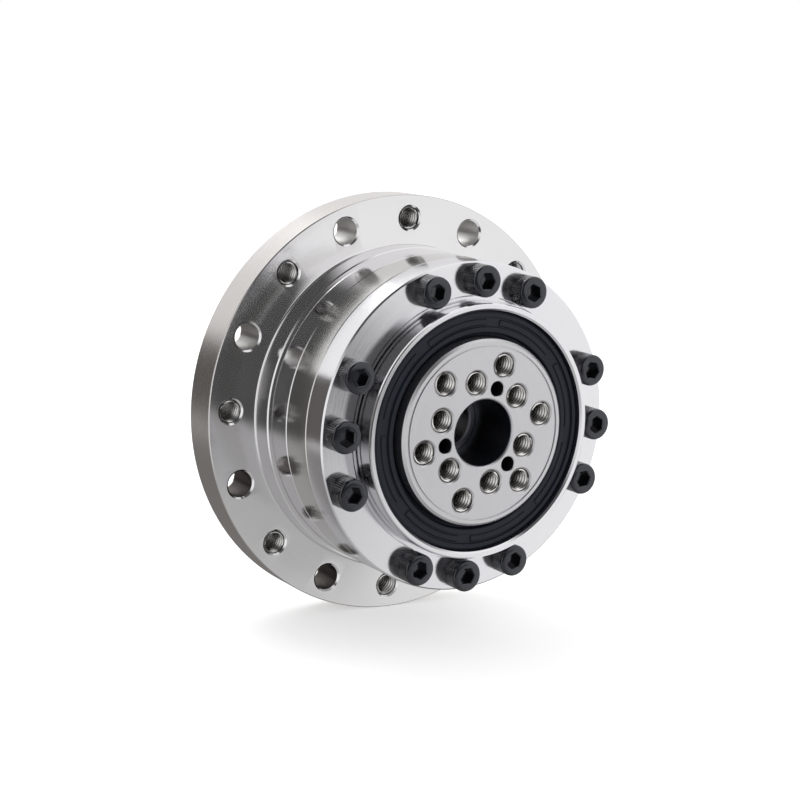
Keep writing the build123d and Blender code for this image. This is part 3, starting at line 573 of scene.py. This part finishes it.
MATERIALS = {name: turned_steel(name, **finish) for name, finish in STEELS.items()}
MATERIALS.update({name: thread_steel(name, **finish) for name, finish in THREAD_STEELS.items()})
MATERIALS.update({
    "bored_steel": bored_steel("bored_steel"),
    "hole_shade": hole_shade("hole_shade"),
    "black_screws": black_oxide("black_screws"),
    "seal_rubber": rubber("seal_rubber"),
    "cage_plastic": moulded_plastic("cage_plastic"),
    "floor_paper": floor_paper("floor_paper"),
})


def to_frame(radius, angle, height):
    """A point from its radius, its angle in radians and its height along the gear axis."""
    return Vector((radius * math.cos(angle), -height, radius * math.sin(angle)))


def at(radius, degrees):
    """Moves what is drawn on the gear axis out to a place on a circle, turned with it."""
    return Matrix.Rotation(-math.radians(degrees), 4, "Y") @ Matrix.Translation((radius, 0, 0))


def evenly(count, phase=0.0):
    return [phase + 360 * k / count for k in range(count)]


def turns(count):
    """Angles in radians that divide a full turn."""
    return [2 * math.pi * k / count for k in range(count)]


def quarter(steps):
    """Angles in radians from 0 to a quarter turn, both ends included."""
    return [math.pi / 2 * step / steps for step in range(steps + 1)]


def smooth(mesh):
    """Shades a mesh smooth, apart from its sharp edges."""
    mesh.polygons.foreach_set("use_smooth", [True] * len(mesh.polygons))
    mesh.set_sharp_from_angle(angle=SMOOTH_ANGLE)


def finished(maker, name, material):
    """Turns mesh data into an object with its material."""
    maker.normal_update()
    bmesh.ops.recalc_face_normals(maker, faces=maker.faces)
    mesh = bpy.data.meshes.new(name)
    maker.to_mesh(mesh)
    maker.free()
    smooth(mesh)
    piece = bpy.data.objects.new(name, mesh)
    bpy.context.scene.collection.objects.link(piece)
    mesh.materials.append(MATERIALS[material])
    return piece


def add_lathe(maker, profile, segments=SEGMENTS, place=None):
    """Adds a closed outline of (radius, height) points turned about the gear axis."""
    rows = []
    for radius, height in profile:
        if radius <= 0:
            rows.append([maker.verts.new(to_frame(0, 0, height))])
        else:
            rows.append([maker.verts.new(to_frame(radius, turn, height)) for turn in turns(segments)])
    for low, high in zip(rows, rows[1:] + rows[:1]):
        for k in range(segments):
            after = (k + 1) % segments
            corners = [low[k % len(low)], low[after % len(low)]]
            corners += [high[after % len(high)], high[k % len(high)]]
            unique = list(dict.fromkeys(corners))
            if len(unique) > 2:
                maker.faces.new(unique)
    if place is not None:
        bmesh.ops.transform(maker, matrix=place, verts=[vertex for row in rows for vertex in row])


def lathe(name, profile, material):
    maker = bmesh.new()
    add_lathe(maker, profile)
    return finished(maker, name, material)


def hole_profile(radius, bottom, top, mouth, through):
    """Outline of a hole's cutter, which is open at the top with a chamfered mouth."""
    floor = bottom - CUTTER_OVER if through else bottom
    over = top + CUTTER_OVER
    return [
        (0, floor), (radius, floor), (radius, top - mouth),
        (radius + mouth, top), (radius + mouth, over), (0, over),
    ]


def drill(piece, holes):
    """Cuts holes from a piece: each row is (outline, circle radius, angles)."""
    maker = bmesh.new()
    for profile, circle, angles in holes:
        for angle in angles:
            add_lathe(maker, profile, HOLE_SEGMENTS, at(circle, angle))
    cutter = finished(maker, "cutter", "ground_steel")
    cut = piece.modifiers.new("holes", "BOOLEAN")
    cut.operation = "DIFFERENCE"
    cut.solver = "EXACT"
    cut.object = cutter
    bpy.context.view_layer.update()
    result = bpy.data.meshes.new_from_object(piece.evaluated_get(bpy.context.evaluated_depsgraph_get()))
    piece.modifiers.clear()
    piece.data = result
    smooth(result)
    bpy.data.objects.remove(cutter)


def hole_walls(name, radius, bottom, top, places, material):
    """Walls of plain holes with painted light and shade of their own: places holds (circle radius, angle).
    """
    maker = bmesh.new()
    outline = [(radius - WALL_SKIN, bottom), (radius, bottom), (radius, top), (radius - WALL_SKIN, top)]
    for circle, angle in places:
        add_lathe(maker, outline, HOLE_SEGMENTS, at(circle, angle))
    return finished(maker, name, material)


def add_thread(maker, crest, place, radius, bottom, top):
    """Adds the flanks of one thread: a net whose rows climb one pitch a turn, cut off at both ends."""
    rows = int((top - bottom) / THREAD_PITCH * THREAD_ROWS) + 2 * THREAD_ROWS
    net = []
    for row in range(rows):
        ridge = 1 - abs(2 * (row / THREAD_ROWS % 1.0) - 1)
        line = []
        for step, turn in enumerate(turns(THREAD_STEPS)):
            height = bottom + THREAD_PITCH * (row / THREAD_ROWS - 1 + step / THREAD_STEPS)
            height = min(max(height, bottom), top)
            vertex = maker.verts.new(place @ to_frame(radius - THREAD_HEIGHT * ridge, turn, height))
            vertex[crest] = ridge
            line.append((vertex, height))
        net.append(line)
    for row in range(rows - 1):
        for step in range(THREAD_STEPS):
            over = row if step + 1 < THREAD_STEPS else row + THREAD_ROWS
            after = (step + 1) % THREAD_STEPS
            if over + 1 >= rows:
                continue
            corners = (net[row][step], net[over][after], net[over + 1][after], net[row + 1][step])
            heights = [height for _, height in corners]
            if max(heights) > min(heights):
                maker.faces.new([vertex for vertex, _ in corners])


def threads(name, radius, bottom, top, places, material):
    """Helical thread flanks that line tapped holes: places holds (circle radius, angle)."""
    maker = bmesh.new()
    crest = maker.verts.layers.float.new("crest")
    for circle, angle in places:
        add_thread(maker, crest, at(circle, angle), radius, bottom, top)
    loose = [vertex for vertex in maker.verts if not vertex.link_faces]
    bmesh.ops.delete(maker, geom=loose, context="VERTS")
    return finished(maker, name, material)


def hex_reach(apothem, turn):
    """Distance from the centre of a hexagon to its side in one direction."""
    part = (turn + math.pi / 6) % (math.pi / 3) - math.pi / 6
    return apothem / math.cos(part)


def add_screw(maker, place, seat, height, head, socket, shank, tip, facing):
    """Adds a socket head cap screw with a knurled head. Its facing is 1 towards the output side, or -1."""
    top = seat + facing * height
    angles = turns(KNURLS * KNURL_STEPS)
    knurled = [head - KNURL_DEPTH * (step % KNURL_STEPS < KNURL_STEPS / 2) for step in range(len(angles))]
    # Each level is a height and the radii at it.
    levels = [
        (seat, [head - HEAD_FOOT] * len(angles)),
        (seat + facing * HEAD_FOOT, knurled),
        (top - facing * KNURL_END, knurled),
    ]
    for turn in quarter(HEAD_EDGE_STEPS):
        radius = head - HEAD_EDGE * (1 - math.cos(turn))
        levels.append((top - facing * HEAD_EDGE * (1 - math.sin(turn)), [radius] * len(angles)))
    for wider, depth in ((SOCKET_LIP, 0), (0, SOCKET_LIP), (0, height / 2)):
        levels.append((top - facing * depth, [hex_reach(socket / 2, turn) + wider for turn in angles]))
    rows = []
    for level, radii in levels:
        points = [place @ to_frame(radius, turn, level) for radius, turn in zip(radii, angles)]
        rows.append([maker.verts.new(point) for point in points])
    for low, high in zip(rows, rows[1:]):
        for step in range(len(angles)):
            after = (step + 1) % len(angles)
            maker.faces.new((low[step], low[after], high[after], high[step]))
    maker.faces.new(rows[-1])
    maker.faces.new(rows[0])
    add_lathe(maker, [(0, tip), (shank, tip), (shank, seat), (0, seat)], SHANK_SEGMENTS, place)


def cap_screws(name, circle, angles, **sizes):
    """A circle of equal cap screws, as one piece."""
    maker = bmesh.new()
    for angle in angles:
        add_screw(maker, at(circle, angle), **sizes)
    return finished(maker, name, "black_screws")


def case_piece():
    fillet = []
    for turn in quarter(ROOT_STEPS):
        fillet.append((
            PILOT_RADIUS + ROOT_FILLET * (1 - math.sin(turn)),
            FLANGE_FRONT + ROOT_FILLET * (1 - math.cos(turn)),
        ))
    piece = lathe("case_body", [
        (RECESS_RADIUS, FLANGE_BACK),
        (FLANGE_RADIUS - FLANGE_EDGE, FLANGE_BACK),
        (FLANGE_RADIUS, FLANGE_BACK + FLANGE_EDGE),
        (FLANGE_RADIUS, FLANGE_FRONT - FLANGE_EDGE),
        (FLANGE_RADIUS - FLANGE_EDGE, FLANGE_FRONT),
        *fillet,
        (PILOT_RADIUS, PILOT_TOP - PILOT_EDGE),
        (PILOT_RADIUS - PILOT_EDGE, PILOT_TOP),
        (BODY_RADIUS, PILOT_TOP),
        (BODY_RADIUS, CASE_FACE - JOINT_EDGE),
        (BODY_RADIUS - JOINT_EDGE, CASE_FACE),
        (CASE_BORE, CASE_FACE),
        (CASE_BORE, RECESS_DEPTH),
        (RECESS_RADIUS, RECESS_DEPTH),
    ], "case_steel")
    bolts = hole_profile(BOLT_HOLE, FLANGE_BACK, FLANGE_FRONT, HOLE_MOUTH, through=True)
    taps = hole_profile(THREAD_HOLE, FLANGE_BACK, FLANGE_FRONT, HOLE_MOUTH, through=True)
    drill(piece, [(bolts, HOLE_CIRCLE, evenly(HOLES, HOLE_PHASE)), (taps, HOLE_CIRCLE, evenly(HOLES))])
    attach(piece, "housing")
    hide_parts("case")


def flange_hole_pieces():
    """Linings of the mounting flange's holes: threads in every second one, plain walls in the others."""
    bottom = FLANGE_BACK + HOLE_MOUTH
    top = FLANGE_FRONT - HOLE_MOUTH
    tapped = [(HOLE_CIRCLE, angle) for angle in evenly(HOLES)]
    plain = [(HOLE_CIRCLE, angle) for angle in evenly(HOLES, HOLE_PHASE)]
    # The thread linings carry painted shade in their roots.
    lining = threads("flange_threads", THREAD_HOLE, bottom, top, tapped, "oiled_thread")
    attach(lining, "housing")
    # The plain holes get walls with painted light above and painted shade below.
    walls = hole_walls("bolt_hole_walls", BOLT_HOLE, bottom, top, plain, "bored_steel")
    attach(walls, "housing")


def rear_ring_piece():
    piece = lathe("rear_ring_body", [
        (BEARING_LAND, CASE_FACE),
        (BODY_RADIUS - JOINT_EDGE, CASE_FACE),
        (BODY_RADIUS, CASE_FACE + JOINT_EDGE),
        (BODY_RADIUS, RACE_PLANE - JOINT_EDGE),
        (BODY_RADIUS - JOINT_EDGE, RACE_PLANE),
        (OUTER_APEX, RACE_PLANE),
        (BEARING_LAND, RACE_PLANE - RACE_REACH),
    ], "ground_steel")
    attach(piece, "housing")
    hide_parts("rear_bearing_ring")


def front_ring_piece():
    """Front ring: its face, the two fine slots at the collar's foot, the collar and the seal's seat."""
    outer_slot = COLLAR_RADIUS + RELIEF_WIDTH
    piece = lathe("front_ring_body", [
        (OUTER_APEX, RACE_PLANE),
        (BODY_RADIUS - JOINT_EDGE, RACE_PLANE),
        (BODY_RADIUS, RACE_PLANE + JOINT_EDGE),
        (BODY_RADIUS, RING_FACE - RING_EDGE),
        (BODY_RADIUS - RING_EDGE, RING_FACE),
        (outer_slot, RING_FACE),
        (outer_slot, RING_FACE - RELIEF_DEPTH),
        (outer_slot - RELIEF_SLOT, RING_FACE - RELIEF_DEPTH),
        (outer_slot - RELIEF_SLOT, RING_FACE - RELIEF_BAND),
        (COLLAR_RADIUS + RELIEF_SLOT, RING_FACE - RELIEF_BAND),
        (COLLAR_RADIUS + RELIEF_SLOT, RING_FACE - RELIEF_DEPTH),
        (COLLAR_RADIUS, RING_FACE - RELIEF_DEPTH),
        (COLLAR_RADIUS, COLLAR_TOP - COLLAR_EDGE),
        (COLLAR_RADIUS - COLLAR_EDGE * COLLAR_ROUND_IN, COLLAR_TOP - COLLAR_EDGE * COLLAR_ROUND_DOWN),
        (COLLAR_RADIUS - COLLAR_EDGE, COLLAR_TOP),
        (SEAL_RADIUS + COLLAR_EDGE, COLLAR_TOP),
        (SEAL_RADIUS, COLLAR_TOP - COLLAR_EDGE),
        (SEAL_RADIUS, SEAL_SEAT),
        (BEARING_LAND, SEAL_SEAT),
        (BEARING_LAND, RACE_PLANE + RACE_REACH),
    ], "polished_steel")
    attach(piece, "housing")
    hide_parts("front_bearing_ring")


def front_screw_piece():
    angles = [middle + step * SCREW_STEP for middle in SCREW_GROUPS for step in (-1, 0, 1)]
    piece = cap_screws(
        "front_cap_screws", SCREW_CIRCLE, angles, seat=RING_FACE, height=SCREW_HEIGHT, head=SCREW_HEAD,
        socket=SCREW_SOCKET, shank=SCREW_SHANK, tip=SCREW_TIP, facing=1,
    )
    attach(piece, "housing")
    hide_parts("ring_screws")


def rear_screw_piece():
    angles = evenly(REAR_SCREWS, REAR_SCREW_PHASE)
    piece = cap_screws(
        "rear_cap_screws", REAR_SCREW_CIRCLE, angles, seat=REAR_SCREW_SEAT, height=REAR_SCREW_HEIGHT,
        head=REAR_SCREW_HEAD, socket=REAR_SCREW_SOCKET, shank=REAR_SCREW_SHANK, tip=REAR_SCREW_TIP,
        facing=-1,
    )
    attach(piece, "housing")
    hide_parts("spline_screws")


def output_piece():
    """Output flange: the inner race, the grooved face, the stepped bore and three circles of holes."""
    piece = lathe("output_flange_body", [
        (THROUGH_RADIUS, SPIGOT_BACK),
        (BORE_RADIUS, SPIGOT_BACK),
        (BORE_RADIUS, OUTPUT_BACK),
        (OUTPUT_LAND, OUTPUT_BACK),
        (OUTPUT_LAND, RACE_PLANE - RACE_REACH),
        (INNER_APEX, RACE_PLANE),
        (OUTPUT_LAND, RACE_PLANE + RACE_REACH),
        (OUTPUT_LAND, OUTPUT_SHOULDER),
        (OUTPUT_RADIUS, OUTPUT_SHOULDER),
        (OUTPUT_RADIUS, OUTPUT_TOP - OUTPUT_EDGE),
        (OUTPUT_RADIUS - OUTPUT_EDGE, OUTPUT_TOP),
        (FACE_GROOVE + GROOVE_WIDTH, OUTPUT_TOP),
        (FACE_GROOVE + GROOVE_WIDTH, OUTPUT_TOP - GROOVE_DEPTH),
        (FACE_GROOVE, OUTPUT_TOP - GROOVE_DEPTH),
        (FACE_GROOVE, OUTPUT_TOP),
        (BORE_RADIUS + BORE_EDGE, OUTPUT_TOP),
        (BORE_RADIUS, OUTPUT_TOP - BORE_EDGE),
        (BORE_RADIUS, OUTPUT_TOP - BORE_DEPTH),
        (THROUGH_RADIUS + BORE_EDGE, OUTPUT_TOP - BORE_DEPTH),
        (THROUGH_RADIUS, OUTPUT_TOP - BORE_DEPTH - BORE_EDGE),
    ], "satin_steel")
    blind = hole_profile(THREAD_HOLE, OUTPUT_TOP - THREAD_DEPTH, OUTPUT_TOP, THREAD_MOUTH, through=False)
    through = hole_profile(THREAD_HOLE, OUTPUT_BACK, OUTPUT_TOP, THREAD_MOUTH, through=True)
    dowel = hole_profile(DOWEL_RADIUS, OUTPUT_BACK, OUTPUT_TOP, DOWEL_MOUTH, through=True)
    drill(piece, [
        (blind, OUTER_THREADS, evenly(OUTPUT_THREADS, OUTPUT_PHASE)),
        (through, INNER_THREADS, evenly(OUTPUT_THREADS, INNER_PHASE)),
        (dowel, DOWEL_CIRCLE, evenly(DOWELS, OUTPUT_PHASE)),
    ])
    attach(piece, "output")
    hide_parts("output_flange")


def output_hole_pieces():
    """Linings of the output flange's holes: threads in both screw circles and walls in the dowel holes."""
    bottom = OUTPUT_TOP - THREAD_DEPTH
    tapped = [(OUTER_THREADS, angle) for angle in evenly(OUTPUT_THREADS, OUTPUT_PHASE)]
    tapped += [(INNER_THREADS, angle) for angle in evenly(OUTPUT_THREADS, INNER_PHASE)]
    plain = [(DOWEL_CIRCLE, angle) for angle in evenly(DOWELS, OUTPUT_PHASE)]
    lining = threads(
        "output_threads", THREAD_HOLE, bottom + THREAD_RUNOUT, OUTPUT_TOP - THREAD_MOUTH,
        tapped, "thread_steel",
    )
    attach(lining, "output")
    # The dowel holes get near-black walls of painted shade.
    walls = hole_walls(
        "dowel_hole_walls", DOWEL_RADIUS, bottom, OUTPUT_TOP - DOWEL_WALL_END, plain, "hole_shade",
    )
    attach(walls, "output")


def add_pad(maker, centre):
    """Adds a raised arc with sloped sides on the seal's sunk ring."""
    bottom = SEAL_TOP - PAD_FOOT
    top = SEAL_TOP - PAD_SINK
    outline = (
        (PAD_INNER, bottom), (PAD_INNER + PAD_SLOPE, top),
        (PAD_OUTER - PAD_SLOPE, top), (PAD_OUTER, bottom),
    )
    sections = []
    for step in range(PAD_STEPS + 1):
        turn = math.radians(centre - PAD_SPAN / 2 + PAD_SPAN * step / PAD_STEPS)
        sections.append([maker.verts.new(to_frame(radius, turn, height)) for radius, height in outline])
    for first, second in zip(sections, sections[1:]):
        for k in range(len(outline)):
            after = (k + 1) % len(outline)
            maker.faces.new((first[k], first[after], second[after], second[k]))
    maker.faces.new(sections[0])
    maker.faces.new(sections[-1])


def seal_piece():
    """Seal face: an outer band, a sunk ring with eight raised pads, an inner band and the lip."""
    maker = bmesh.new()
    add_lathe(maker, [
        (SEAL_RADIUS - SEAL_FIT, SEAL_SEAT),
        (SEAL_RADIUS - SEAL_FIT, SEAL_TOP - SEAL_SHOULDER),
        (OUTER_BAND[0] + SEAL_SLANT, SEAL_TOP - SEAL_ROUND),
        (OUTER_BAND[0], SEAL_TOP),
        (OUTER_BAND[1], SEAL_TOP),
        (OUTER_BAND[1] - SEAL_SLANT, SEAL_TOP - SEAL_SINK),
        (INNER_BAND[0] + SEAL_SLANT, SEAL_TOP - SEAL_SINK),
        (INNER_BAND[0], SEAL_TOP),
        (INNER_BAND[1], SEAL_TOP),
        *((radius, SEAL_TOP - depth) for radius, depth in LIP_OUTLINE),
        (LIP_ROOT, SEAL_SEAT),
    ])
    for centre in evenly(PADS, PAD_PHASE):
        add_pad(maker, centre)
    piece = finished(maker, "seal_face", "seal_rubber")
    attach(piece, "housing")
    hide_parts("seal_rubber")


def ball_piece():
    maker = bmesh.new()
    for angle in evenly(BALLS):
        reach = BALL_PITCH + DEFLECTION * math.cos(2 * math.radians(angle))
        place = at(reach, angle) @ Matrix.Translation((0, -BALL_HEIGHT, 0))
        bmesh.ops.create_uvsphere(
            maker, u_segments=BALL_SEGMENTS, v_segments=BALL_RINGS, radius=BALL_RADIUS, matrix=place,
        )
    piece = finished(maker, "bearing_ball_set", "bearing_steel")
    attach(piece, "wave_generator")
    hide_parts("bearing_balls")


def finish_cad_nodes():
    """Every CAD node that is still shown takes the procedural material of its slot."""
    for row in frame["record"]["subparts"]:
        node = frame["nodes"][row["node"]]
        node.data.materials.clear()
        node.data.materials.append(MATERIALS[row["material_slot"]])


def white_world():
    """A world that is white for the camera, and for the metal the studio that it mirrors."""
    world = bpy.data.worlds.new("studio")
    world.use_nodes = True
    nodes = Nodes(world.node_tree)
    x, y, z = nodes.split(nodes.place("Generated"))
    seen = nodes.seen_by_camera()
    front = (-y).beyond(0.0, FRONT_SOFT)

    bright_side = x.beyond(TABLE_SIDE, TABLE_SIDE_SOFT) * z.beyond(TABLE_FAR_EDGE, TABLE_SOFT)
    table_level = bright_side.between(TABLE_NEAR, TABLE_LEVEL)
    table = (x * TABLE_TILT - z).beyond(TABLE_EDGE, TABLE_SOFT) * table_level
    upper = (x + z * UPPER_TILT).beyond(UPPER_EDGE, UPPER_SOFT) * x.beyond(UPPER_LEFT_END, PANEL_SOFT)
    right = x.beyond(RIGHT_EDGE, RIGHT_SOFT)
    left = (-x).beyond(LEFT_EDGE, PANEL_SOFT)
    lit = table.maths("MAXIMUM", upper).maths("MAXIMUM", right).maths("MAXIMUM", left)
    front_level = lit.between(ROOM_LEVEL, WHITE)

    below = (-z).beyond(BELOW_EDGE, BELOW_SOFT)
    backdrop = below.between(WHITE, BELOW_LEVEL)
    off_flag = (z.maths("ARCTAN2", -x) - LEFT_FLAG_MIDDLE).maths("ABSOLUTE")
    left_flag = (LEFT_FLAG_HALF - off_flag).beyond(0.0, LEFT_FLAG_SOFT)
    behind_level = backdrop - left_flag * (backdrop - LEFT_FLAG_LEVEL)

    mirrored = behind_level + front * (front_level - behind_level)
    level = mirrored + seen * (WHITE - mirrored)
    warmth = (left_flag + below * BELOW_WARMTH).clamp() * (1 - front) * (1 - seen)
    background = nodes.tree.nodes["Background"]
    nodes.connect(nodes.mix(warmth, PLAIN, WARM), background.inputs["Color"])
    nodes.connect(level, background.inputs["Strength"])
    bpy.context.scene.world = world
    bpy.context.scene.view_settings.view_transform = "Standard"


def pale_floor():
    """A white floor under the flange, as bright as the backdrop apart from the object's shadow."""
    maker = bmesh.new()
    bmesh.ops.create_grid(maker, x_segments=1, y_segments=1, size=FLOOR_SIZE / 2)
    floor = finished(maker, "floor", "floor_paper")
    floor.location = (0, 0, cad_low[2])
    floor.visible_glossy = False


def area_light(name, place, size, power, mirrored):
    """A square lamp aimed at the object, which the metal mirrors or doesn't."""
    data = bpy.data.lights.new(name, "AREA")
    data.energy = power
    data.size = size
    lamp = bpy.data.objects.new(name, data)
    lamp.location = place
    lamp.rotation_mode = "QUATERNION"
    lamp.rotation_quaternion = (Vector(LAMP_AIM) - Vector(place)).to_track_quat("-Z", "Y")
    lamp.visible_camera = False
    lamp.visible_glossy = mirrored
    bpy.context.scene.collection.objects.link(lamp)


def camera_axes():
    """Right, up and back directions of the fitted camera."""
    azimuth, elevation, roll = (math.radians(v) for v in (CAMERA_AZIMUTH, CAMERA_ELEVATION, CAMERA_ROLL))
    back = Vector((
        math.sin(azimuth) * math.cos(elevation),
        -math.cos(azimuth) * math.cos(elevation),
        math.sin(elevation),
    ))
    right = Vector((math.cos(azimuth), math.sin(azimuth), 0))
    up = back.cross(right)
    rolled_right = right * math.cos(roll) + up * math.sin(roll)
    rolled_up = up * math.cos(roll) - right * math.sin(roll)
    return rolled_right, rolled_up, back


def photo_camera():
    right, up, back = camera_axes()
    data = bpy.data.cameras.new("camera")
    data.sensor_width = SENSOR_WIDTH
    data.lens = FOCAL_PIXELS / PHOTO_WIDTH * SENSOR_WIDTH
    data.clip_start = CAMERA_NEAR
    data.clip_end = CAMERA_FAR
    camera = bpy.data.objects.new("camera", data)
    place = right * -CAMERA_SHIFT_X + up * -CAMERA_SHIFT_Y + back * CAMERA_DISTANCE
    place.y -= OUTPUT_TOP
    turn = Matrix((right, up, back)).transposed().to_4x4()
    camera.matrix_world = Matrix.Translation(place) @ turn
    bpy.context.scene.collection.objects.link(camera)
    bpy.context.scene.camera = camera


case_piece()
flange_hole_pieces()
rear_ring_piece()
front_ring_piece()
front_screw_piece()
rear_screw_piece()
output_piece()
output_hole_pieces()
seal_piece()
ball_piece()
finish_cad_nodes()
white_world()
pale_floor()
area_light("key", KEY_PLACE, KEY_SIZE, KEY_POWER, mirrored=False)
area_light("top", TOP_PLACE, TOP_SIZE, TOP_POWER, mirrored=True)
photo_camera()
